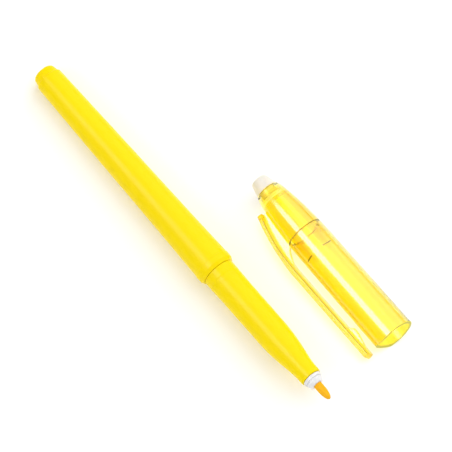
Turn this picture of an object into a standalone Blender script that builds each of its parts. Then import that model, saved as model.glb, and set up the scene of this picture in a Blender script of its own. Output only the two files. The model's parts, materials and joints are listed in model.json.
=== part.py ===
"""A fibre-tip fabric marking pen and its cap, lying side by side on a table.

The pen lies along +X with its nib at the +X end, and the cap lies beside it on the +Y side with its
mouth facing the same way. The table is z = 0 and the origin is the middle of the footprint.

Stations along the pen run from its tail end, stations along the cap run from the top of its rubber,
and both grow towards +X. Stations and radii are in millimetres and become metres in MM.
"""

import math

import bmesh
import bpy
from mathutils import Matrix, Vector

MM = 0.001
GAP = 0.3  # clearance between pieces that touch
SIDES = 48  # flats round a turned piece

# Pen
PEN_LENGTH = 131.2
TAIL_STEP = 2.8  # where the barrel starts behind the tail plug
TAIL_RADIUS = 4.13
LIP_START = 78.0
LIP_END = 79.8
LIP_RADIUS = 5.8
BARREL_END = 80.9
BORE_RADIUS = 4.6  # barrel bore that takes the front section's spigot
WALL = 0.95
SPIGOT_START = 69.0
FRONT_BORE = 3.3
NOSE_END = 122.9
NOSE_RADIUS = 3.24
HOLDER_BORE = 2.5
HOLDER_END = 125.7
NIB_RADIUS = 1.25
FIBRE_RADIUS = 2.55
FIBRE_START = 15.3
FIBRE_END = 108.7
FILM = 0.15

# Cap
CAP_LENGTH = 62.0
MOUTH_RADIUS = 6.2
RUBBER_LENGTH = 4.2
STEM_RADIUS = 2.2
STEM_END = 6.4
SPLIT = 21.2  # where the crown ends and the tube starts
SPLIT_RADIUS = 5.78
CAP_BORE = 5.15
CAP_SPIGOT = 4.85
CAP_SPIGOT_END = 28.9
CROWN_BORE = 4.15
CROWN_FLOOR = 8.0
TAB_GAP = 4.0
TAB_LENGTH = 4.3
NOTCH_RADIUS = 10.7
NOTCH_DEPTH = 1.4

# Clip
CLIP_START = 8.7
CLIP_ROOT = 27.6  # station where the blade leaves its web and bends
CLIP_END = 61.1
CLIP_OUTSIDE = 10.35
CLIP_INSIDE = 8.45
CLIP_WIDTH = 5.2
CLIP_END_WIDTH = 4.8
BUMP_INSIDE = 7.15
WEB = 1.2

# Placing: how far apart the pieces lie, and how each one leans on the table
SPACING = 26.65  # between the two axes
MOUTH_BEHIND_NIB = 3.1
PEN_TILT = math.atan((LIP_RADIUS - TAIL_RADIUS) / (LIP_START - TAIL_STEP))
PEN_Y = -(SPACING + MOUTH_RADIUS - LIP_RADIUS) / 2
CAP_Y = PEN_Y + SPACING
CLIP_CORNER = math.hypot(CLIP_OUTSIDE, CLIP_WIDTH / 2)
CLIP_DROP = math.asin(MOUTH_RADIUS / CLIP_CORNER) - math.atan2(CLIP_WIDTH / 2, CLIP_OUTSIDE)

YELLOW = (0.95, 0.75, 0.01, 1.0)
CLEAR_YELLOW = (0.98, 0.84, 0.10, 1.0)
WHITE = (0.90, 0.90, 0.90, 1.0)
NIB_ORANGE = (0.95, 0.50, 0.03, 1.0)
MILKY = (0.88, 0.84, 0.70, 1.0)


def clear_scene():
    """Removes whatever the open file holds."""
    for obj in list(bpy.data.objects):
        bpy.data.objects.remove(obj)


def new_collection(name):
    made = bpy.data.collections.new(name)
    bpy.context.scene.collection.children.link(made)
    return made


def plastic(name, colour, roughness, transmission=0.0):
    """A Principled material; transmission makes it a clear tinted plastic."""
    material = bpy.data.materials.new(name)
    material.use_nodes = True
    shader = material.node_tree.nodes["Principled BSDF"]
    shader.inputs["Base Color"].default_value = colour
    shader.inputs["Roughness"].default_value = roughness
    shader.inputs["Metallic"].default_value = 0.0
    shader.inputs["Transmission Weight"].default_value = transmission
    return material


def empty(name, location, rotation, group, parent=None):
    """A frame that pieces are placed in; its rotation turns about Z first, then Y, then X."""
    made = bpy.data.objects.new(name, None)
    made.empty_display_size = 0.01
    made.parent = parent
    made.location = Vector(location) * MM
    made.rotation_mode = "ZYX"
    made.rotation_euler = rotation
    group.objects.link(made)
    return made


def rounded(outline, steps=2):
    """The outline's (station, radius) points, with an arc at each corner that names a fillet radius."""
    points = []
    for i, corner in enumerate(outline):
        if len(corner) == 2:
            points.append(Vector(corner))
            continue
        here = Vector(corner[:2])
        back = (Vector(outline[i - 1][:2]) - here).normalized()
        ahead = (Vector(outline[(i + 1) % len(outline)][:2]) - here).normalized()
        half = back.angle(ahead) / 2
        centre = here + (back + ahead).normalized() * corner[2] / math.sin(half)
        start = here + back * corner[2] / math.tan(half) - centre
        end = here + ahead * corner[2] / math.tan(half) - centre
        points += [centre + start.lerp(end, k / steps).normalized() * corner[2] for k in range(steps + 1)]
    return points


def shade(mesh):
    """Smooth shading with the hard edges kept."""
    mesh.shade_smooth()
    mesh.set_sharp_from_angle(angle=math.radians(30))


def turned(name, outline, frame, group, material):
    """A piece turned about its frame's Z. The outline runs along the outside towards the far end, then
    back along the inside; one that starts and ends at radius 0 is solid there."""
    points = rounded(outline)[::-1]
    loop = 0 if outline[0][1] == 0 else 1
    edges = [(i, (i + 1) % len(points)) for i in range(len(points) - 1 + loop)]
    mesh = bpy.data.meshes.new(name)
    mesh.from_pydata([(p.y * MM, 0, p.x * MM) for p in points], edges, [])
    mesh.materials.append(material)
    obj = bpy.data.objects.new(name, mesh)
    obj.parent = frame
    group.objects.link(obj)
    screw = obj.modifiers.new("turn", "SCREW")
    screw.axis = "Z"
    screw.steps = SIDES
    screw.render_steps = SIDES
    screw.use_merge_vertices = True
    screw.merge_threshold = 0.00001
    return obj


def plate(name, outline, width, frame, group, material):
    """A flat plate whose outline's points are (station, distance from the axis), as a welded mesh."""
    curve = bpy.data.curves.new(name, "CURVE")
    curve.dimensions = "2D"
    curve.fill_mode = "BOTH"
    curve.extrude = width / 2 * MM
    points = rounded(outline, 4)
    spline = curve.splines.new("POLY")
    spline.points.add(len(points) - 1)
    spline.use_cyclic_u = True
    for point, place in zip(spline.points, points):
        point.co = (place.y * MM, place.x * MM, 0, 1)
    drawn = bpy.data.objects.new(name + "_outline", curve)
    drawn.parent = frame
    drawn.rotation_euler = (math.pi / 2, 0, 0)
    group.objects.link(drawn)
    bpy.context.view_layer.update()
    mesh = bpy.data.meshes.new_from_object(drawn.evaluated_get(bpy.context.evaluated_depsgraph_get()))
    work = bmesh.new()
    work.from_mesh(mesh)
    bmesh.ops.remove_doubles(work, verts=work.verts, dist=0.00001)
    work.to_mesh(mesh)
    work.free()
    mesh.materials.clear()
    mesh.materials.append(material)
    obj = bpy.data.objects.new(name, mesh)
    group.objects.link(obj)
    obj.matrix_world = drawn.matrix_world
    bpy.data.objects.remove(drawn)
    return obj


def cut(obj, tool, operation):
    """Adds a Boolean with another object, which stays out of the model."""
    tool.hide_render = True
    tool.display_type = "WIRE"
    boolean = obj.modifiers.new(operation.lower() + "_" + tool.name, "BOOLEAN")
    boolean.operation = operation
    boolean.object = tool
    boolean.solver = "EXACT"


def cutter(name, work, place, frame, group):
    """An object made from a bmesh primitive and put in place in its frame."""
    mesh = bpy.data.meshes.new(name)
    work.to_mesh(mesh)
    work.free()
    obj = bpy.data.objects.new(name, mesh)
    obj.parent = frame
    obj.location = Vector(place) * MM
    group.objects.link(obj)
    return obj


def barrel(frame, group, material):
    """The long tapered case, with a raised lip where the cap stops."""
    flank = [(18, 4.44), (33, 4.76), (48, 5.01), (63, 5.3), (75, 5.6)]
    outline = [(TAIL_STEP, TAIL_RADIUS - WALL), (TAIL_STEP, TAIL_RADIUS, 0.35), *flank]
    outline += [(LIP_START - 0.2, 5.64), (LIP_START, LIP_RADIUS), (LIP_END, LIP_RADIUS - 0.06, 0.5)]
    outline += [(BARREL_END, 5.1), (BARREL_END, BORE_RADIUS), (SPIGOT_START - 1, BORE_RADIUS)]
    outline += [(station, radius - WALL) for station, radius in flank[3::-1]]
    turned("barrel", outline, frame, group, material)


def tail_plug(frame, group, material):
    """The domed plug that closes the barrel, hollow from inside."""
    outline = [(0, 0), (0, 3.3, 1.2), (TAIL_STEP - GAP, 3.75), (TAIL_STEP - GAP, 2.85), (9, 2.85, 0.3)]
    outline += [(9, 2.0), (1.6, 1.8), (1.6, 0)]
    turned("tail_plug", outline, frame, group, material)


def front_section(frame, group, material):
    """The slimmer front: a spigot in the barrel, a straight grip, a taper and a nose."""
    outline = [(SPIGOT_START, FRONT_BORE), (SPIGOT_START, BORE_RADIUS - GAP, 0.3)]
    outline += [(BARREL_END + GAP, BORE_RADIUS - GAP), (BARREL_END + GAP, 4.92)]
    outline += [(83.6, 4.89), (84, 4.97), (84.4, 4.88), (90, 4.81), (105, 4.78)]
    outline += [(109, 4.66), (111.4, 4.44), (113.9, 4.13), (116.3, 3.74), (118.7, 3.38), (120.4, NOSE_RADIUS)]
    outline += [(NOSE_END, NOSE_RADIUS - 0.03, 0.25), (NOSE_END, HOLDER_BORE)]
    outline += [(111.2, HOLDER_BORE), (109.8, FRONT_BORE)]
    turned("front_section", outline, frame, group, material)


def nib_holder(frame, group, material):
    """The white collar that grips the nib and plugs the nose."""
    flange = NOSE_END + GAP
    outline = [(111.5, 1.5), (111.5, HOLDER_BORE - GAP, 0.3), (flange, HOLDER_BORE - GAP)]
    outline += [(flange, 2.8), (flange + 0.9, 2.8, 0.2), (flange + 0.9, 2.5), (flange + 1.1, 2.5)]
    outline += [(flange + 1.1, 2.62, 0.15), (HOLDER_END, 1.9, 0.15), (HOLDER_END, 1.5)]
    turned("nib_holder", outline, frame, group, material)


def nib(frame, group, material):
    """The fibre rod, with a bullet point in front and its tail in the ink store."""
    straight = 128.8
    tip = 0.15
    bullet = [math.radians(a) for a in range(0, 90, 15)]
    length = PEN_LENGTH - straight
    outline = [(102, 0), (102, NIB_RADIUS, 0.3)]
    outline += [(straight + length * math.sin(a), tip + (NIB_RADIUS - tip) * math.cos(a)) for a in bullet]
    outline += [(PEN_LENGTH, tip), (PEN_LENGTH, 0)]
    turned("nib", outline, frame, group, material)


def ink_reservoir(frame, group, material):
    """The bundle of fibres that holds the ink, with a pocket for the nib's tail."""
    outline = [(FIBRE_START, 0), (FIBRE_START, FIBRE_RADIUS, 0.3), (FIBRE_END, FIBRE_RADIUS, 0.3)]
    outline += [(FIBRE_END, NIB_RADIUS + GAP), (101.6, NIB_RADIUS + GAP), (101.6, 0)]
    turned("ink_reservoir", outline, frame, group, material)


def reservoir_film(frame, group, material):
    """The thin sleeve wrapped round the fibres."""
    inside = FIBRE_RADIUS + GAP
    outside = inside + FILM
    outline = [(FIBRE_START, inside), (FIBRE_START, outside), (FIBRE_END, outside), (FIBRE_END, inside)]
    turned("reservoir_film", outline, frame, group, material)


def friction_rubber(frame, group, material):
    """The rubber on the cap's top, with a stem in the crown's socket."""
    outline = [(0, 0), (0, 2.45, 1.0), (2.7, 3.1), (RUBBER_LENGTH, 3.4), (RUBBER_LENGTH, STEM_RADIUS)]
    outline += [(STEM_END, STEM_RADIUS, 0.3), (STEM_END, 0)]
    turned("friction_rubber", outline, frame, group, material)


def crown_side():
    """Stations and radii down the crown's outside."""
    return [(5.7, 4.13), (7.8, 4.52), (10.2, 4.87), (13.2, 5.22), (16.2, 5.48), (19.2, 5.67)]


def cap_crown(frame, group, cutters, material):
    """The cap's upper moulding: a socket for the rubber, a spigot with four snap tabs for the tube, and
    the web that carries the clip's root."""
    seat = RUBBER_LENGTH + GAP
    outline = [(STEM_END + GAP, 0), (STEM_END + GAP, STEM_RADIUS + GAP), (seat, STEM_RADIUS + GAP)]
    outline += [(seat, 3.62, 0.2), *crown_side(), (SPLIT, SPLIT_RADIUS), (SPLIT, CAP_SPIGOT)]
    outline += [(CAP_SPIGOT_END, CAP_SPIGOT, 0.2), (CAP_SPIGOT_END, CROWN_BORE)]
    outline += [(13, CROWN_BORE), (CROWN_FLOOR, 3.5), (CROWN_FLOOR, 0)]
    crown = turned("cap_crown", outline, frame, group, material)
    cut(crown, plate("web", web_outline(), WEB, frame, cutters, material), "UNION")
    cut(crown, plate("clip_root", root_outline(), CLIP_WIDTH, frame, cutters, material), "UNION")
    for turn in (0, 1):
        slot = tab_gap(f"tab_gap_{turn}", frame, cutters)
        slot.rotation_euler = (0, 0, turn * math.pi / 2)
        cut(crown, slot, "DIFFERENCE")


def tab_gap(name, frame, cutters):
    """A bar right across the spigot's end, which parts two pairs of snap tabs."""
    size = Matrix.Diagonal((14 * MM, TAB_GAP * MM, 2 * TAB_LENGTH * MM, 1))
    work = bmesh.new()
    bmesh.ops.create_cube(work, size=1, matrix=size)
    return cutter(name, work, (0, 0, CAP_SPIGOT_END), frame, cutters)


def web_outline():
    """The thin web between the crown and the clip; its lower edge sweeps out along the blade."""
    inner = [(CLIP_START + 0.3, 4.2), (13.2, 4.75), (SPLIT - 0.02, 5.3)]
    width = CLIP_INSIDE + 0.1 - SPLIT_RADIUS
    sweep = [(SPLIT + 5.9 * k**1.5, SPLIT_RADIUS - 0.02 + width * k) for k in (0, 0.25, 0.5, 0.75, 1)]
    outer = [(23.7, 9.0), (16.2, 8.0), (CLIP_START + 0.3, 6.0)]
    return inner + sweep + outer


def root_outline():
    """The part of the clip that stands on the web, curving away from the crown."""
    end = CLIP_ROOT - GAP / 2
    top = [(CLIP_START, 5.25), (CLIP_START, 6.9, 0.3)]
    outside = [(12.6, 8.05), (16.2, 8.9), (20, 9.55), (23.7, 10.0), (end, CLIP_OUTSIDE)]
    inside = [(end, CLIP_INSIDE), (23.7, 8.3), (20, 7.95), (16.2, 7.3), (12.6, 6.45)]
    return top + outside + inside


def pocket_clip(frame, group, material):
    """The springy blade beyond the web, with a grip bump near its end. Its frame is on the bend line."""
    start = CLIP_ROOT + GAP / 2
    outline = [(start, CLIP_INSIDE), (start, CLIP_OUTSIDE), (CLIP_END, CLIP_OUTSIDE, 0.3)]
    outline += [(CLIP_END, CLIP_INSIDE, 0.2), (59, CLIP_INSIDE), (53.7, BUMP_INSIDE, 1.0)]
    outline += [(52.1, BUMP_INSIDE, 0.4), (51.3, CLIP_INSIDE)]
    clip = plate("pocket_clip", outline, CLIP_WIDTH, frame, group, material)
    taper = (1 - CLIP_END_WIDTH / CLIP_WIDTH) / (CLIP_END - start)
    for vertex in clip.data.vertices:
        vertex.co.z *= 1 - taper * (vertex.co.y / MM - start)
    bend = (CLIP_INSIDE + CLIP_OUTSIDE) / 2
    clip.data.transform(Matrix.Translation(Vector((-bend, -CLIP_ROOT, 0)) * MM))
    clip.matrix_world = clip.matrix_world @ Matrix.Translation(Vector((bend, CLIP_ROOT, 0)) * MM)
    bevel = clip.modifiers.new("soft_edges", "BEVEL")
    bevel.width = 0.2 * MM
    bevel.segments = 2
    bevel.limit_method = "ANGLE"
    bevel.angle_limit = math.radians(50)


def cap_tube(frame, group, cutters, material):
    """The cap's lower moulding, open at the mouth, with a shallow notch in the rim under the clip."""
    outline = [(SPLIT + GAP, CAP_BORE), (SPLIT + GAP, SPLIT_RADIUS + 0.02), (23.7, 5.86), (31, 5.97), (46, 6.1)]
    outline += [(CAP_LENGTH, MOUTH_RADIUS, 0.2), (CAP_LENGTH, CAP_BORE + 0.15, 0.2)]
    tube = turned("cap_tube", outline, frame, group, material)
    cut(tube, mouth_notch(frame, cutters), "DIFFERENCE")


def mouth_notch(frame, cutters):
    """A drum pointing out along the clip's side, which scoops the rim."""
    reach = 9
    radius = NOTCH_RADIUS * MM
    work = bmesh.new()
    bmesh.ops.create_cone(work, cap_ends=True, segments=96, radius1=radius, radius2=radius, depth=reach * MM)
    place = (reach / 2, 0, CAP_LENGTH + NOTCH_RADIUS - NOTCH_DEPTH)
    drum = cutter("mouth_notch", work, place, frame, cutters)
    drum.rotation_euler = (0, math.pi / 2, 0)
    return drum


def inner_cap(frame, group, material):
    """The cup inside the crown that closes round the pen's nose and keeps the nib wet."""
    outside = CROWN_BORE - GAP
    inside = NOSE_RADIUS + 0.1
    top = CROWN_FLOOR + GAP
    outline = [(top, 0), (top, 3.2), (13, outside), (24, outside), (24, inside)]
    outline += [(13, inside), (top + 0.7, 2.9), (top + 0.7, 0)]
    turned("inner_cap", outline, frame, group, material)


def build_pen(group):
    """The pen, leaning on its lip and on the step at its tail."""
    half = PEN_LENGTH / 2
    rest = TAIL_RADIUS - TAIL_STEP * math.tan(PEN_TILT)
    place = (-half * math.cos(PEN_TILT), PEN_Y, rest * math.cos(PEN_TILT))
    frame = empty("pen", place, (0, math.pi / 2 - PEN_TILT, 0), group)
    yellow = plastic("yellow_plastic", YELLOW, 0.35)
    barrel(frame, group, yellow)
    tail_plug(frame, group, plastic("yellow_plug_plastic", YELLOW, 0.35))
    front_section(frame, group, plastic("yellow_front_plastic", YELLOW, 0.3))
    nib_holder(frame, group, plastic("white_plastic", WHITE, 0.4))
    nib(frame, group, plastic("inked_fibre", NIB_ORANGE, 0.7))
    ink_reservoir(frame, group, plastic("reservoir_fibre", CLEAR_YELLOW, 0.9))
    reservoir_film(frame, group, plastic("clear_film", WHITE, 0.2, 0.8))


def build_cap(group, cutters):
    """The cap, leaning on its mouth and on the clip's lower corner."""
    nib_x = PEN_LENGTH / 2
    place = (nib_x - MOUTH_BEHIND_NIB - CAP_LENGTH, CAP_Y, MOUTH_RADIUS)
    frame = empty("cap", place, (0, math.pi / 2, CLIP_DROP - math.pi / 2), group)
    clear = plastic("clear_yellow_plastic", CLEAR_YELLOW, 0.1, 0.7)
    cap_crown(frame, group, cutters, clear)
    cap_tube(frame, group, cutters, plastic("clear_yellow_tube_plastic", CLEAR_YELLOW, 0.1, 0.7))
    pocket_clip(frame, group, plastic("clear_yellow_clip_plastic", CLEAR_YELLOW, 0.1, 0.7))
    inner_cap(frame, group, plastic("clear_yellow_cup_plastic", CLEAR_YELLOW, 0.2, 0.5))
    friction_rubber(frame, group, plastic("milky_rubber", MILKY, 0.6))


def main():
    clear_scene()
    group = new_collection("fabric_marking_pen")
    cutters = new_collection("cutters")
    build_pen(group)
    build_cap(group, cutters)
    for obj in group.objects:
        if obj.type == "MESH":
            shade(obj.data)


main()
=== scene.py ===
"""Looks for the fabric marking pen and its cap: their shapes, materials, floor, lights and camera.

Stations and radii are in millimetres, along each piece's own axis: from the tail end of the pen, and
from the top of the rubber on the cap. Both grow towards +X.
"""

import json
import math

import bmesh
import bpy
from mathutils import Matrix, Vector


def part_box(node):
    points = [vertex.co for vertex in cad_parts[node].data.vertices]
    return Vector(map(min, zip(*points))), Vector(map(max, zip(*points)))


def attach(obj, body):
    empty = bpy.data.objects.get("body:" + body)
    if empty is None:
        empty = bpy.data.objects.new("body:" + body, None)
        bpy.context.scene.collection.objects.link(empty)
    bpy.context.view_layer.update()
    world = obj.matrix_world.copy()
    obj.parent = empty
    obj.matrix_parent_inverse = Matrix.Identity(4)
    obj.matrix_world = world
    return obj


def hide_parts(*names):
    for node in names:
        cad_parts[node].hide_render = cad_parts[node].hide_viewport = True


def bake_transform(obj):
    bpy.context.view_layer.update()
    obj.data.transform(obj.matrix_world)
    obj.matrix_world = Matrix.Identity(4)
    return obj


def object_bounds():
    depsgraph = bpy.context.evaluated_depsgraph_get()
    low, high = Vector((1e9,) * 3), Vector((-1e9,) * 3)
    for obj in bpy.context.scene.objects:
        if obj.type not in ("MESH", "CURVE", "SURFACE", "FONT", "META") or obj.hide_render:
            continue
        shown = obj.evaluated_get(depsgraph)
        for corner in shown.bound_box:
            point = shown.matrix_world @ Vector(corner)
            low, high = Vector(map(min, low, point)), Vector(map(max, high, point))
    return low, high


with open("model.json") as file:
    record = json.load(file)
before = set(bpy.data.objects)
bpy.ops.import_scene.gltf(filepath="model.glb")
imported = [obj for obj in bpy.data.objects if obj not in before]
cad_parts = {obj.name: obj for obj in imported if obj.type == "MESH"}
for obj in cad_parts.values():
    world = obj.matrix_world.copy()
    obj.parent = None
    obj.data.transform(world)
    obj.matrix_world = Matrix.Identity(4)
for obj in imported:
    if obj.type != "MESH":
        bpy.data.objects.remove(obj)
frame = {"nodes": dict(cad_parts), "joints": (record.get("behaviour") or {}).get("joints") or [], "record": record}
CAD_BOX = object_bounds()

MM = 0.001
WELD = 0.0005 * MM  # corners this close are made one
HARD_EDGE = 20  # degrees between two faces, above which their edge stays sharp
SEGMENTS = 128  # flats round a turned piece

# The cap, in its own frame: Z is the station, and X points out to the clip
SPLIT = 21.2  # parting line between the crown and the tube
SPIGOT_END = 28.9
MOUTH = 62.0
SCOOP_RADIUS = 10.7
SCOOP_DEPTH = 1.4
SCOOP_CENTRE = MOUTH + SCOOP_RADIUS - SCOOP_DEPTH
SCOOP_REACH = 9.0  # from the cap's axis out past the rim
GAP_REACH = 14.0  # right across the spigot
GAP_WIDTH = 4.0  # between two snap tabs
GAP_LENGTH = 8.6  # the half of it beyond the spigot's end cuts nothing

# The clip and its web, in the same frame; tables are (station, value)
WEB_EDGE = 0.25
WEB_HALF_WIDTH = 0.6
WEB_INSIDE = [(8.9, 4.3), (13.2, 4.8), (21.2, 5.3)]
WEB_OUTSIDE = [(8.9, 6.2), (16.2, 8.2), (21.2, 8.9), (27.6, 9.4)]
RIB_HALF_WIDTH = 0.8
RIB_INSIDE = [(50.9, 8.4), (51.9, 7.35), (52.3, 7.15), (53.5, 7.15), (54.2, 7.25), (59, 8.4)]
RIB_OUTSIDE = 8.8  # within the blade
CLIP_START = 8.7
CLIP_END = 61.1
CLIP_EDGE = 0.14
CLIP_CHAMFER = 0.45
CLIP_LINE = 0.53  # height of the line over the clip's underside that is painted dark as shade
LINE_HALF_HEIGHT = 0.09
LINE_INSET = 0.12
CLIP_OUTSIDE = [(8.7, 6.9), (12.6, 8.05), (16.2, 8.9), (20, 9.55), (23.7, 10.0), (27.6, 10.35)]
CLIP_INSIDE = [(8.7, 5.25), (12.6, 6.45), (16.2, 7.3), (20, 7.95), (23.7, 8.3), (27.6, 8.45)]
CLIP_HALF_WIDTH = [(27.6, 2.6), (61.1, 2.4)]

# The looks on the cap's two mouldings, by material index
LOOK_CLEAR, LOOK_SPIGOT, LOOK_EDGE_SHADE, LOOK_THICK, LOOK_BORE, LOOK_END, LOOK_SOCKET_LIT = range(7)
TUBE_CLEAR, TUBE_EDGE_SHADE, TUBE_RIM_SHADE = range(3)

# Linear colours; the cap's tints colour what is seen through it, its casts the light that it lets by
YELLOW = (0.97, 0.75, 0.001, 1.0)
YELLOW_DEEP = (0.96, 0.725, 0.001, 1.0)
TINT = (1.0, 0.83, 0.11, 1.0)
TINT_THICK = (1.0, 0.76, 0.06, 1.0)
TINT_END = (1.0, 0.68, 0.004, 1.0)
# Painted light: a paler tint on the crown's socket, which lightens the shaded rubber stem seen through it.
TINT_SOCKET_LIT = (1.0, 0.93, 0.45, 1.0)
CAST_NEAR = (1.0, 0.93, 0.36, 1.0)
CAST_FAR = (1.0, 0.995, 0.985, 1.0)
CUP_TINT = (1.0, 0.99, 0.9, 1.0)
CAST_NEAR_END = 0.002
CAST_FAR_START = 0.005

# The camera's direction in degrees, its distance, and the width that it sees there, in metres
AZIMUTH = 50.941
ELEVATION = 68.5
DISTANCE = 2.0
VIEW_WIDTH = 0.13032
AIM_RIGHT = 1.32  # where it points in its own view, in millimetres from the origin
AIM_DOWN = 3.69


def rounded(outline, steps=6):
    """The outline's (station, radius) points, with an arc at each corner that names a fillet radius."""
    points = []
    for i, corner in enumerate(outline):
        if len(corner) == 2:
            points.append(Vector(corner))
            continue
        here = Vector(corner[:2])
        back = (Vector(outline[i - 1][:2]) - here).normalized()
        ahead = (Vector(outline[(i + 1) % len(outline)][:2]) - here).normalized()
        half = back.angle(ahead) / 2
        centre = here + (back + ahead).normalized() * corner[2] / math.sin(half)
        start = here + back * corner[2] / math.tan(half) - centre
        end = here + ahead * corner[2] / math.tan(half) - centre
        for k in range(steps + 1):
            points.append(centre + start.lerp(end, k / steps).normalized() * corner[2])
    return points


def frame_at(origin, axis, side):
    """A frame whose Z is axis and whose X is the part of side that is square to it."""
    z = axis.normalized()
    x = (side - z * side.dot(z)).normalized()
    return Matrix.Translation(origin) @ Matrix((x, z.cross(x), z)).transposed().to_4x4()


def piece(name, work, place):
    """An object from a bmesh made in its own frame, smooth with its hard edges kept."""
    bmesh.ops.remove_doubles(work, verts=work.verts, dist=WELD)
    bmesh.ops.recalc_face_normals(work, faces=work.faces)
    work.transform(place)
    mesh = bpy.data.meshes.new(name)
    work.to_mesh(mesh)
    work.free()
    obj = bpy.data.objects.new(name, mesh)
    bpy.context.scene.collection.objects.link(obj)
    shade(mesh)
    return obj


def shade(mesh):
    """Smooth shading that keeps hard edges."""
    mesh.shade_smooth()
    mesh.set_sharp_from_angle(angle=math.radians(HARD_EDGE))


def turned(name, outline, place):
    """A piece turned about its frame's Z; an outline that starts at radius 0 is solid there."""
    work = bmesh.new()
    verts = [work.verts.new((p.y * MM, 0, p.x * MM)) for p in rounded(outline)]
    edges = [work.edges.new(pair) for pair in zip(verts, verts[1:])]
    if outline[0][1] != 0:
        edges.append(work.edges.new((verts[-1], verts[0])))
    turn = {"cent": (0, 0, 0), "axis": (0, 0, 1), "angle": 2 * math.pi, "steps": SEGMENTS}
    bmesh.ops.spin(work, geom=verts + edges, **turn)
    return piece(name, work, place)


def ring(station, inside, outside, half_width, corner):
    """A rounded rectangle round a bar at one station, as points in the piece's frame."""
    corner = min(corner, half_width * 0.98, (outside - inside) * 0.49)
    points = []
    for quarter, (k, w) in enumerate(((1, 1), (0, 1), (0, -1), (1, -1))):
        centre_k = outside - corner if k else inside + corner
        centre_w = w * (half_width - corner)
        for step in range(5):
            angle = math.radians(90 * quarter + 22.5 * step)
            k_out = centre_k + corner * math.cos(angle)
            w_out = centre_w + corner * math.sin(angle)
            points.append((k_out, w_out, station))
    return points


def bar(name, sections, place, corner, outline=ring):
    """A solid lofted through outlines of one kind, each (station, inside, outside, half width)."""
    work = bmesh.new()
    rings = []
    for section in sections:
        points = outline(*section, corner)
        rings.append([work.verts.new(Vector(point) * MM) for point in points])
    for low, high in zip(rings, rings[1:]):
        for i in range(len(low)):
            j = (i + 1) % len(low)
            work.faces.new((low[i], low[j], high[j], high[i]))
    work.faces.new(rings[0][::-1])
    work.faces.new(rings[-1])
    return piece(name, work, place)


def settled(obj):
    """Bakes an object's modifiers into its mesh."""
    bpy.context.view_layer.update()
    graph = bpy.context.evaluated_depsgraph_get()
    mesh = bpy.data.meshes.new_from_object(obj.evaluated_get(graph))
    obj.modifiers.clear()
    obj.data = mesh
    tidy_slivers(mesh)
    shade(mesh)


def tidy_slivers(mesh):
    """Splits a cut mesh's many-sided faces and removes those with no area."""
    work = bmesh.new()
    work.from_mesh(mesh)
    bmesh.ops.triangulate(work, faces=[face for face in work.faces if len(face.verts) > 4])
    bmesh.ops.dissolve_degenerate(work, edges=work.edges, dist=WELD)
    work.to_mesh(mesh)
    work.free()


def combined(obj, tools, operation):
    """Joins the tools to obj, or cuts them from it, removes them, and gives obj back."""
    for tool in tools:
        boolean = obj.modifiers.new(tool.name, "BOOLEAN")
        boolean.operation = operation
        boolean.solver = "EXACT"
        boolean.object = tool
    settled(obj)
    for tool in tools:
        bpy.data.objects.remove(tool)
    return obj


def eased(table, station):
    """A value read off a table of (station, value) points, straight between them."""
    if station <= table[0][0]:
        return table[0][1]
    for (a, low), (b, high) in zip(table, table[1:]):
        if station <= b:
            return low + (high - low) * (station - a) / (b - a)
    return table[-1][1]


# ---------------------------------------------------------------- pen


def barrel(place):
    """The long tapered case, with the lip that the cap stops against."""
    outline = [(2.8, 3.18), (2.8, 4.13, 0.35), (18, 4.44), (33, 4.76), (48, 5.01), (63, 5.3), (75, 5.6)]
    outline += [(77.8, 5.65), (77.95, 5.66, 0.05), (78.05, 5.8, 0.08), (79.8, 5.74, 0.5)]
    outline += [(80.9, 5.1, 0.15), (80.9, 4.6), (68, 4.6), (63, 4.35), (48, 4.06), (33, 3.81), (18, 3.49)]
    return turned("barrel_case", outline, place)


def tail_plug(place):
    """The domed plug in the barrel's end."""
    outline = [(0, 0), (0, 3.3, 1.2), (2.77, 3.77, 0.08), (2.77, 2.85), (9, 2.85, 0.3), (9, 2.0)]
    outline += [(1.6, 1.8), (1.6, 0)]
    return turned("tail_dome", outline, place)


def front_section(place):
    """The slimmer grip with its bead, taper and nose."""
    outline = [(69, 3.3), (69, 4.3, 0.3), (81.0, 4.3), (81.0, 4.92, 0.1), (83.6, 4.89, 0.2)]
    outline += [(84, 4.98, 0.12), (84.4, 4.88, 0.2), (90, 4.81), (105, 4.78), (107, 4.73), (109, 4.64)]
    outline += [(111.4, 4.42), (113.9, 4.10), (116.3, 3.72), (118.7, 3.38), (119.6, 3.29), (120.4, 3.24)]
    outline += [(122.9, 3.21, 0.25), (122.9, 2.5), (111.2, 2.5), (109.8, 3.3)]
    return turned("grip_section", outline, place)


def nib_holder(place):
    """The white collar that holds the nib in the nose."""
    outline = [(111.5, 1.5), (111.5, 2.2, 0.3), (123.0, 2.2), (123.0, 2.8, 0.12), (123.95, 2.8, 0.15)]
    outline += [(124.0, 2.25, 0.05), (124.4, 2.25, 0.05), (124.45, 2.6, 0.1), (125.7, 1.9, 0.15)]
    outline += [(125.7, 1.3)]
    return turned("nib_collar", outline, place)


def nib(place):
    """The felt rod with its bullet point."""
    outline = [(102, 0), (102, 1.25, 0.3)]
    for degrees in range(0, 90, 6):
        angle = math.radians(degrees)
        outline.append((127.4 + 3.8 * math.sin(angle), 0.15 + 1.1 * math.cos(angle)))
    outline += [(131.2, 0.1), (131.2, 0)]
    return turned("felt_nib", outline, place)


# ---------------------------------------------------------------- cap


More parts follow.
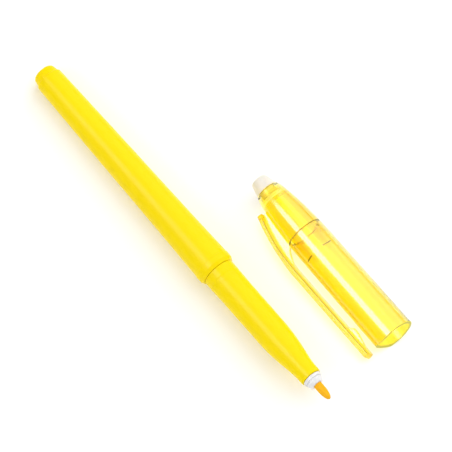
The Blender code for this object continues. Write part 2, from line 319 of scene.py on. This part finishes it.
def crown_shell(place):
    """The crown's turned body: rubber socket, flank, shoulder and snap spigot."""
    outline = [(6.7, 0), (6.7, 2.5), (4.3, 2.5, 0.1), (4.3, 3.62, 0.25), (5.7, 4.13), (7.8, 4.52)]
    outline += [(10.2, 4.87), (13.2, 5.22), (16.2, 5.48), (19.2, 5.67), (SPLIT, 5.78, 0.1), (SPLIT, 4.85)]
    outline += [(SPIGOT_END, 4.85, 0.2), (SPIGOT_END, 4.15, 0.1), (13, 4.15, 0.3), (8.0, 3.5, 0.5), (8.0, 0)]
    return turned("crown_and_clip", outline, place)


def web(place):
    """The thin web under the clip, whose free edge sweeps out to the blade."""
    sections = []
    for station in (8.9, 12.6, 16.2, 20.0, 21.15):
        low = eased(WEB_INSIDE, station)
        high = eased(WEB_OUTSIDE, station)
        sections.append((station, low, high, WEB_HALF_WIDTH))
    steps = 12
    for step in range(steps + 1):
        share = step / steps
        low = 5.4 + 3.3 * share
        station = SPLIT + 6.3 * share**1.5
        high = eased(WEB_OUTSIDE, station)
        sections.append((station, low, max(high, low + 0.4), WEB_HALF_WIDTH))
    return bar("web", sections, place, WEB_EDGE)


def clip_ring(station, inside, outside, half_width, corner):
    """The clip's outline at one station: a narrow flat sets off a wide chamfer towards the cap."""
    line_top = inside + CLIP_LINE + LINE_HALF_HEIGHT
    line_foot = inside + CLIP_LINE - LINE_HALF_HEIGHT
    half = [(outside, half_width - corner), (outside - corner, half_width)]
    half += [(line_top, half_width), (line_foot, half_width - LINE_INSET)]
    half += [(inside, half_width - CLIP_CHAMFER)]
    points = [(k, w, station) for k, w in half]
    return points + [(k, -w, station) for k, w in reversed(half)]


def blade(place):
    """The clip's blade, from its root over the crown to its end."""
    sections = []
    stations = (9.1, 9.6, 10.8, 12.6, 14.4, 16.2, 18, 20, 22, 23.7, 25.6, 27.6, 31, 36, 42, 48, 54, 60.8)
    for station in stations:
        half_width = eased(CLIP_HALF_WIDTH, station)
        sections.append((station, eased(CLIP_INSIDE, station), eased(CLIP_OUTSIDE, station), half_width))
    sections = round_ends(sections, CLIP_START, CLIP_END, 0.3)
    return bar("blade", sections, place, CLIP_EDGE, clip_ring)


def rib(place):
    """The grip bump near the clip's end, a rib that slopes back to the blade."""
    sections = []
    for station in (50.9, 51.4, 51.9, 52.3, 53, 53.5, 54.2, 55.4, 57, 59):
        sections.append((station, eased(RIB_INSIDE, station), RIB_OUTSIDE, RIB_HALF_WIDTH))
    return bar("rib", sections, place, WEB_EDGE)


def round_ends(sections, start, end, radius):
    """The sections with smaller ones added at both ends, which round off the bar's end faces."""
    heads = []
    tails = []
    for degrees in (0, 30, 60, 90):
        reach = radius * math.sin(math.radians(degrees))
        inset = radius * (1 - math.cos(math.radians(degrees)))
        heads.insert(0, (start + radius - reach, *shrunk(sections[0], inset)))
        tails.append((end - radius + reach, *shrunk(sections[-1], inset)))
    return heads + sections + tails


def shrunk(section, inset):
    """A section's inside, outside and half width, drawn in all round."""
    return section[1] + inset, section[2] - inset, section[3] - inset


def crown_and_clip(place):
    """The cap's upper moulding: crown, web and clip in one, with snap tabs at the spigot's end."""
    crown = crown_shell(place)
    combined(crown, [web(place), blade(place), rib(place)], "UNION")
    slots = [tab_gap(f"tab_gap_{turn}", place, turn) for turn in (0, 1)]
    return combined(crown, slots, "DIFFERENCE")


def tab_gap(name, place, turn):
    """A bar right across the spigot's end, turned by that many quarter turns."""
    work = bmesh.new()
    size = Matrix.Diagonal((GAP_REACH * MM, GAP_WIDTH * MM, GAP_LENGTH * MM, 1))
    rotation = Matrix.Rotation(turn * math.pi / 2, 4, "Z")
    spot = Matrix.Translation((0, 0, SPIGOT_END * MM))
    bmesh.ops.create_cube(work, size=1, matrix=spot @ rotation @ size)
    return piece(name, work, place)


def cap_tube(place):
    """The cap's lower moulding, open at the mouth, with a shallow scoop in the rim under the clip."""
    outline = [(21.32, 5.15), (21.32, 5.8, 0.1), (23.7, 5.86), (31, 5.97), (46, 6.1), (MOUTH, 6.2, 0.22)]
    outline += [(MOUTH, 5.3, 0.22)]
    tube = turned("cap_sleeve", outline, place)
    return combined(tube, [scoop(place)], "DIFFERENCE")


def scoop(place):
    """A drum pointing out on the clip's side, which scoops the rim."""
    work = bmesh.new()
    middle = Matrix.Translation((SCOOP_REACH / 2 * MM, 0, SCOOP_CENTRE * MM))
    lay = middle @ Matrix.Rotation(math.pi / 2, 4, "Y")
    size = {"radius1": SCOOP_RADIUS * MM, "radius2": SCOOP_RADIUS * MM, "depth": SCOOP_REACH * MM}
    bmesh.ops.create_cone(work, cap_ends=True, segments=256, matrix=lay, **size)
    return piece("scoop", work, place)


def inner_cap(place):
    """The cup in the crown that seals round the pen's nose."""
    outline = [(8.3, 0), (8.3, 3.2, 0.4), (13, 3.85, 0.5), (24, 3.85, 0.2), (24, 3.34, 0.15)]
    outline += [(13, 3.34, 0.4), (9.0, 2.9, 0.4), (9.0, 0)]
    return turned("nib_cup", outline, place)


def friction_rubber(place):
    """The rubber on the cap's top, with its stem in the crown."""
    outline = [(0, 0), (0, 2.45, 1.0), (2.7, 3.1), (4.2, 3.4, 0.15), (4.2, 2.2), (6.4, 2.2, 0.3)]
    outline += [(6.4, 0)]
    return turned("rubber_top", outline, place)


# ---------------------------------------------------------------- materials


def new_material(name):
    """A material with its node tree and Principled shader."""
    material = bpy.data.materials.new(name)
    material.use_nodes = True
    return material, material.node_tree, material.node_tree.nodes["Principled BSDF"]


def noise(tree, scale, detail, stretch=(1, 1, 1)):
    """Noise in the piece's own coordinates; scale is in cells a metre."""
    coordinates = tree.nodes.new("ShaderNodeTexCoord")
    mapping = tree.nodes.new("ShaderNodeMapping")
    mapping.inputs["Scale"].default_value = stretch
    texture = tree.nodes.new("ShaderNodeTexNoise")
    texture.inputs["Scale"].default_value = scale
    texture.inputs["Detail"].default_value = detail
    tree.links.new(coordinates.outputs["Object"], mapping.inputs["Vector"])
    tree.links.new(mapping.outputs["Vector"], texture.inputs["Vector"])
    return texture.outputs["Fac"]


def ranged(tree, value, low, high):
    """The middle of a noise's range stretched to run from low to high."""
    node = tree.nodes.new("ShaderNodeMapRange")
    node.inputs["From Min"].default_value = 0.3
    node.inputs["From Max"].default_value = 0.7
    node.inputs["To Min"].default_value = low
    node.inputs["To Max"].default_value = high
    tree.links.new(value, node.inputs["Value"])
    return node.outputs["Result"]


def mixed(tree, value, low, high):
    """A colour between low and high by value."""
    node = tree.nodes.new("ShaderNodeMix")
    node.data_type = "RGBA"
    node.inputs["A"].default_value = low
    node.inputs["B"].default_value = high
    tree.links.new(ranged(tree, value, 0, 1), node.inputs["Factor"])
    return node.outputs["Result"]


def bumped(tree, shader, height, depth):
    """Gives a shader bumps, depth metres deep."""
    node = tree.nodes.new("ShaderNodeBump")
    node.inputs["Strength"].default_value = 1.0
    node.inputs["Distance"].default_value = depth
    tree.links.new(height, node.inputs["Height"])
    tree.links.new(node.outputs["Normal"], shader.inputs["Normal"])


def opaque_plastic(name, low, high, roughness, specular):
    """Moulded opaque plastic: faint flow marks in its colour, and gloss broken by handling."""
    material, tree, shader = new_material(name)
    flow = noise(tree, 60, 3, (0.25, 1, 1))
    tree.links.new(mixed(tree, flow, low, high), shader.inputs["Base Color"])
    handling = noise(tree, 700, 4, (0.4, 1, 1))
    tree.links.new(ranged(tree, handling, *roughness), shader.inputs["Roughness"])
    shader.inputs["Specular IOR Level"].default_value = specular
    bumped(tree, shader, noise(tree, 2600, 3), 0.000004)
    return material


def clear_plastic(name, tint, near=CAST_NEAR, far=CAST_FAR, index=1.3, coat=1.0):
    """Tinted see-through plastic with a soft gloss, which casts its own tints."""
    material, tree, shader = new_material(name)
    fuller = [channel**1.1 for channel in tint]
    flow = noise(tree, 90, 3, (0.2, 1, 1))
    tree.links.new(mixed(tree, flow, fuller, tint), shader.inputs["Base Color"])
    tree.links.new(ranged(tree, noise(tree, 900, 4), 0.10, 0.14), shader.inputs["Roughness"])
    shader.inputs["Transmission Weight"].default_value = 1.0
    shader.inputs["IOR"].default_value = index
    shader.inputs["Coat Weight"].default_value = coat
    shader.inputs["Coat Roughness"].default_value = 0.19
    shader.inputs["Coat IOR"].default_value = 1.6
    bumped(tree, shader, noise(tree, 300, 2, (0.3, 1, 1)), 0.000001)
    cast_through(tree, shader, near, far)
    return material


def cast_through(tree, shader, near, far):
    """Lets lamps and bounced light straight through a shader, deeper in colour on what is close."""
    path = tree.nodes.new("ShaderNodeLightPath")
    reach = tree.nodes.new("ShaderNodeMapRange")
    reach.inputs["From Min"].default_value = CAST_NEAR_END
    reach.inputs["From Max"].default_value = CAST_FAR_START
    tint = tree.nodes.new("ShaderNodeMix")
    tint.data_type = "RGBA"
    tint.inputs["A"].default_value = near
    tint.inputs["B"].default_value = far
    through = tree.nodes.new("ShaderNodeBsdfTransparent")
    either = tree.nodes.new("ShaderNodeMath")
    either.operation = "MAXIMUM"
    mix = tree.nodes.new("ShaderNodeMixShader")
    tree.links.new(path.outputs["Ray Length"], reach.inputs["Value"])
    tree.links.new(reach.outputs["Result"], tint.inputs["Factor"])
    tree.links.new(tint.outputs["Result"], through.inputs["Color"])
    tree.links.new(path.outputs["Is Shadow Ray"], either.inputs[0])
    tree.links.new(path.outputs["Is Diffuse Ray"], either.inputs[1])
    tree.links.new(either.outputs["Value"], mix.inputs["Fac"])
    tree.links.new(shader.outputs["BSDF"], mix.inputs[1])
    tree.links.new(through.outputs["BSDF"], mix.inputs[2])
    tree.links.new(mix.outputs["Shader"], tree.nodes["Material Output"].inputs["Surface"])


def painted_edge_shade():
    """Painted shade: the end faces of the clear mouldings in a dark opaque colour, for the thin dark lines that
    their edges show.
    """
    material, tree, shader = new_material("dull_edge_look")
    grain = noise(tree, 4000, 3)
    # A dark colour painted as the edges' shade; the grain only varies it a little.
    colour = mixed(tree, grain, (0.24, 0.22, 0.02, 1), (0.32, 0.29, 0.03, 1))
    tree.links.new(colour, shader.inputs["Base Color"])
    tree.links.new(ranged(tree, grain, 0.5, 0.7), shader.inputs["Roughness"])
    bumped(tree, shader, grain, 0.00001)
    return material


def rubber():
    """Milky rubber: light soaks into it, and its skin is finely matt."""
    material, tree, shader = new_material("milky_rubber_look")
    cloud = noise(tree, 500, 4)
    colour = mixed(tree, cloud, (0.79, 0.75, 0.66, 1), (0.85, 0.81, 0.73, 1))
    tree.links.new(colour, shader.inputs["Base Color"])
    tree.links.new(ranged(tree, noise(tree, 1500, 3), 0.42, 0.6), shader.inputs["Roughness"])
    shader.inputs["Subsurface Weight"].default_value = 0.6
    shader.inputs["Subsurface Radius"].default_value = (1.0, 0.85, 0.6)
    shader.inputs["Subsurface Scale"].default_value = 0.002
    bumped(tree, shader, noise(tree, 3000, 3), 0.00001)
    return material


def felt(name, low, high):
    """Fibres pressed side by side and soaked with ink."""
    material, tree, shader = new_material(name)
    fibres = noise(tree, 5000, 3, (0.08, 1, 1))
    tree.links.new(mixed(tree, fibres, low, high), shader.inputs["Base Color"])
    tree.links.new(ranged(tree, fibres, 0.9, 0.7), shader.inputs["Roughness"])
    shader.inputs["Specular IOR Level"].default_value = 0.2
    bumped(tree, shader, fibres, 0.00004)
    return material


def film():
    """The thin clear sleeve on the fibres."""
    material, tree, shader = new_material("film_look")
    cloud = noise(tree, 400, 3, (0.2, 1, 1))
    colour = mixed(tree, cloud, (0.9, 0.9, 0.86, 1), (0.96, 0.96, 0.94, 1))
    tree.links.new(colour, shader.inputs["Base Color"])
    tree.links.new(ranged(tree, cloud, 0.15, 0.3), shader.inputs["Roughness"])
    shader.inputs["Transmission Weight"].default_value = 0.8
    bumped(tree, shader, noise(tree, 2000, 2), 0.00001)
    return material


def table_top():
    """White card, very faintly mottled, that glows a little to stay white in shade."""
    material, tree, shader = new_material("white_card")
    cloud = noise(tree, 30, 3)
    colour = mixed(tree, cloud, (0.93, 0.93, 0.93, 1), (0.94, 0.94, 0.94, 1))
    tree.links.new(colour, shader.inputs["Base Color"])
    tree.links.new(ranged(tree, cloud, 0.75, 0.85), shader.inputs["Roughness"])
    shader.inputs["Specular IOR Level"].default_value = 0.1
    shader.inputs["Emission Color"].default_value = (1, 1, 1, 1)
    shader.inputs["Emission Strength"].default_value = 0.1
    return material


# ---------------------------------------------------------------- putting together


def finish_piece(obj, material, body, node):
    """Gives a piece its material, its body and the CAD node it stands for."""
    obj.data.materials.clear()
    obj.data.materials.append(material)
    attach(obj, body)
    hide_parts(node)


def pen_frame():
    """The pen's frame: its tail end on the record's mount, its Z towards the nib."""
    mount = next(m for m in frame["record"]["mounts"] if m["name"] == "tail_end")
    return frame_at(Vector(mount["pos_m"]), -Vector(mount["axis"]), Vector((0, 0, 1)))


def cap_frame():
    """The cap's frame: the top of the rubber, Z towards the mouth and X out to the clip."""
    low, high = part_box("friction_rubber")
    joint = next(j for j in frame["joints"] if j["name"] == "clip_flex")
    middle = (low + high) / 2
    along = Vector((1, 0, 0))
    return frame_at(Vector((low.x, middle.y, middle.z)), along, Vector(joint["axis"]).cross(along))


def build_pen():
    """Every piece of the pen."""
    place = pen_frame()
    case = opaque_plastic("yellow_case", YELLOW_DEEP, YELLOW, (0.24, 0.34), 0.09)
    grip = opaque_plastic("yellow_grip", YELLOW_DEEP, YELLOW, (0.22, 0.32), 0.09)
    white = opaque_plastic("white_collar", (0.78, 0.78, 0.79, 1), (0.82, 0.82, 0.83, 1), (0.3, 0.45), 0.4)
    ink = felt("inked_nib", (0.88, 0.40, 0.002, 1), (0.98, 0.52, 0.006, 1))
    finish_piece(barrel(place), case, "pen", "barrel")
    finish_piece(tail_plug(place), case, "pen", "tail_plug")
    finish_piece(front_section(place), grip, "pen", "front_section")
    finish_piece(nib_holder(place), white, "pen", "nib_holder")
    finish_piece(nib(place), ink, "pen", "nib")
    dress("ink_reservoir", felt("ink_store", (0.8, 0.5, 0.03, 1), (0.95, 0.75, 0.15, 1)))
    dress("reservoir_film", film())


def dress(node, material):
    """Gives a CAD node that stays a finished material."""
    for slot in frame["nodes"][node].material_slots:
        slot.material = material


def moulding_look(spot):
    """Which of the upper moulding's looks a face has, from its middle in the cap's frame."""
    radius = math.hypot(spot.x, spot.y)
    inside = eased(CLIP_INSIDE, spot.z)
    if spot.x > inside - 0.05 and radius > inside:
        return clip_look(spot, inside)
    # The parting line and the upper tab ends get the painted edge shade.
    on_parting_line = 5.6 < radius < 6 and abs(spot.z - SPLIT) < 0.12
    on_upper_tab_end = radius < 4.9 and spot.z > SPIGOT_END - 0.22 and spot.y < 0
    if on_parting_line or on_upper_tab_end:
        return LOOK_EDGE_SHADE
    if spot.z > SPLIT and radius < 4.95:
        return LOOK_SPIGOT
    if spot.z > 7.9 and radius < 4.3:
        return LOOK_BORE
    # The socket's flank and bore take the paler tint, painted light on the shaded stem behind.
    if 4.6 < spot.z < 6 and radius < 4.1:
        return LOOK_SOCKET_LIT
    return LOOK_CLEAR


def clip_look(spot, inside):
    """Which look a face on the clip has; inside is the clip's underside at that station."""
    drop = eased(CLIP_HALF_WIDTH, spot.z) - abs(spot.y)
    # The line along the clip's flank gets the painted edge shade.
    if abs(spot.x - inside - CLIP_LINE) < 0.08 and 0.03 < drop < 0.09 and 11 < spot.z < 60:
        return LOOK_EDGE_SHADE
    return LOOK_THICK if 10.9 <= spot.z <= 58.6 else LOOK_END


def tube_look(spot):
    """Which of the tube's looks a face has: clear, painted edge shade at the parting line, or painted shade on the
    mouth's rim.
    """
    if spot.z < SPLIT + 0.25:
        return TUBE_EDGE_SHADE
    # The mouth's rim and the scoop's edge take the painted rim shade.
    scooped = spot.x > 0 and abs(math.hypot(spot.y, spot.z - SCOOP_CENTRE) - SCOOP_RADIUS) < 0.05
    return TUBE_RIM_SHADE if spot.z > MOUTH - 0.2 or scooped else TUBE_CLEAR


def give_looks(obj, place, looks, choose):
    """Gives each face the look that choose picks from its middle, in millimetres in the cap's frame."""
    obj.data.materials.clear()
    for look in looks:
        obj.data.materials.append(look)
    inverse = place.inverted()
    for face in obj.data.polygons:
        face.material_index = choose(inverse @ face.center / MM)


def build_cap():
    """Every piece of the cap."""
    place = cap_frame()
    clear = clear_plastic("clear_yellow_look", TINT)
    thick = clear_plastic("thick_yellow_look", TINT_THICK, index=1.12, coat=0.2)
    end = clear_plastic("clip_end_look", TINT_END, index=1.12, coat=0.1)
    bore = clear_plastic("crown_bore_look", TINT, index=1.03, coat=0)
    cup = clear_plastic("clear_cup_look", CUP_TINT, near=CUP_TINT, far=CUP_TINT, index=1.03, coat=0)
    # A paler copy of the clear yellow, painted light on the rubber stem seen through the socket.
    socket = clear_plastic("lit_socket_look", TINT_SOCKET_LIT, index=1.15, coat=0.5)
    # Dark colour painted on the clear edges as their shade.
    painted_lines = painted_edge_shade()
    moulding = crown_and_clip(place)
    give_looks(moulding, place, (clear, cup, painted_lines, thick, bore, end, socket), moulding_look)
    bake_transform(moulding)
    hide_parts("cap_crown", "pocket_clip")
    tube = cap_tube(place)
    finish_piece(tube, clear, "cap", "cap_tube")
    # Painted shade: the clear rim in an opaque darker yellow, for the dark line that it shows.
    rim = opaque_plastic("rim_shade_look", (0.66, 0.6, 0.06, 1), (0.74, 0.68, 0.08, 1), (0.4, 0.5), 0.2)
    give_looks(tube, place, (clear, painted_lines, rim), tube_look)
    finish_piece(inner_cap(place), cup, "cap", "inner_cap")
    finish_piece(friction_rubber(place), rubber(), "cap", "friction_rubber")


# ---------------------------------------------------------------- stage


def floor():
    """A plain white table, level with the lowest point of the pen and cap."""
    mesh = bpy.data.meshes.new("table_top")
    reach = 3.0
    z = CAD_BOX[0][2]
    corners = [(-reach, -reach, z), (reach, -reach, z), (reach, reach, z), (-reach, reach, z)]
    mesh.from_pydata(corners, [], [(0, 1, 2, 3)])
    mesh.materials.append(table_top())
    obj = bpy.data.objects.new("table_top", mesh)
    bpy.context.scene.collection.objects.link(obj)


def softbox(name, place, size, power, hidden=()):
    """A rectangular light aimed at the origin, long along X; hidden names the rays that miss it."""
    back = Vector(place).normalized()
    along = (Vector((1, 0, 0)) - back * back.x).normalized()
    lamp = bpy.data.lights.new(name, "AREA")
    lamp.shape = "RECTANGLE"
    lamp.size, lamp.size_y = size
    lamp.energy = power
    obj = bpy.data.objects.new(name, lamp)
    turn = Matrix((along, back.cross(along), back)).transposed().to_4x4()
    obj.matrix_world = Matrix.Translation(place) @ turn
    obj.visible_camera = False
    for rays in hidden:
        setattr(obj, "visible_" + rays, False)
    bpy.context.scene.collection.objects.link(obj)


def along_the_pen(tree):
    """The world's strength in reflections: dim across the pen, and bright along it."""
    coordinates = tree.nodes.new("ShaderNodeTexCoord")
    parts = tree.nodes.new("ShaderNodeSeparateXYZ")
    size = tree.nodes.new("ShaderNodeMath")
    size.operation = "ABSOLUTE"
    strength = tree.nodes.new("ShaderNodeMapRange")
    strength.inputs["From Min"].default_value = 0.5
    strength.inputs["From Max"].default_value = 0.9
    strength.inputs["To Min"].default_value = 0.1
    strength.inputs["To Max"].default_value = 0.85
    tree.links.new(coordinates.outputs["Generated"], parts.inputs["Vector"])
    tree.links.new(parts.outputs["X"], size.inputs[0])
    tree.links.new(size.outputs["Value"], strength.inputs["Value"])
    return strength.outputs["Result"]


def surround():
    """Soft white light from all round, dim in reflections across the pen to keep its colour deep."""
    world = bpy.data.worlds.new("studio")
    world.use_nodes = True
    tree = world.node_tree
    background = tree.nodes["Background"]
    background.inputs["Color"].default_value = (1, 1, 1, 1)
    path = tree.nodes.new("ShaderNodeLightPath")
    mirrored = tree.nodes.new("ShaderNodeMix")
    mirrored.inputs["A"].default_value = 0.38
    tree.links.new(along_the_pen(tree), mirrored.inputs["B"])
    refracted = tree.nodes.new("ShaderNodeMix")
    refracted.inputs["B"].default_value = 1.0
    tree.links.new(path.outputs["Is Glossy Ray"], mirrored.inputs["Factor"])
    tree.links.new(path.outputs["Is Transmission Ray"], refracted.inputs["Factor"])
    tree.links.new(mirrored.outputs["Result"], refracted.inputs["A"])
    tree.links.new(refracted.outputs["Result"], background.inputs["Strength"])
    bpy.context.scene.world = world


def softbox_across(name, lean, distance, size, power, hidden=()):
    """A softbox over the origin, leaning from overhead towards +Y by an angle in degrees."""
    turn = math.radians(lean)
    softbox(name, (0, distance * math.sin(turn), distance * math.cos(turn)), size, power, hidden)


def lights():
    """Light from overhead, a wide key, a fill opposite, and a strip that makes the highlight."""
    softbox_across("overhead", 0, 2.6, (2.6, 1.8), 18)
    softbox_across("key", 48, 1.3, (1.8, 1.6), 14)
    softbox_across("fill", -55, 1.4, (1.6, 1.0), 7, ["glossy"])
    softbox_across("strip", -32, 1.5, (1.8, 0.75), 36, ["diffuse"])
    cycles = bpy.context.scene.cycles
    cycles.max_bounces = 32
    cycles.transmission_bounces = 32
    cycles.transparent_max_bounces = 32


def camera():
    """The camera, at the angle and distance that the object is shown from."""
    azimuth = math.radians(AZIMUTH)
    elevation = math.radians(ELEVATION)
    right = Vector((math.cos(azimuth), math.sin(azimuth), 0))
    level = Vector((-math.sin(azimuth), math.cos(azimuth), 0))
    look = level * math.cos(elevation) - Vector((0, 0, math.sin(elevation)))
    up = right.cross(look)
    aim = right * AIM_RIGHT * MM - up * AIM_DOWN * MM
    lens = bpy.data.cameras.new("camera")
    lens.sensor_width = 36
    lens.lens = lens.sensor_width * DISTANCE / VIEW_WIDTH
    lens.clip_start = 0.1
    lens.clip_end = 10
    obj = bpy.data.objects.new("camera", lens)
    turn = Matrix((right, up, -look)).transposed().to_4x4()
    obj.matrix_world = Matrix.Translation(aim - look * DISTANCE) @ turn
    bpy.context.scene.collection.objects.link(obj)
    bpy.context.scene.camera = obj


camera()
build_pen()
build_cap()
floor()
surround()
lights()
bpy.context.scene.view_settings.view_transform = "Standard"
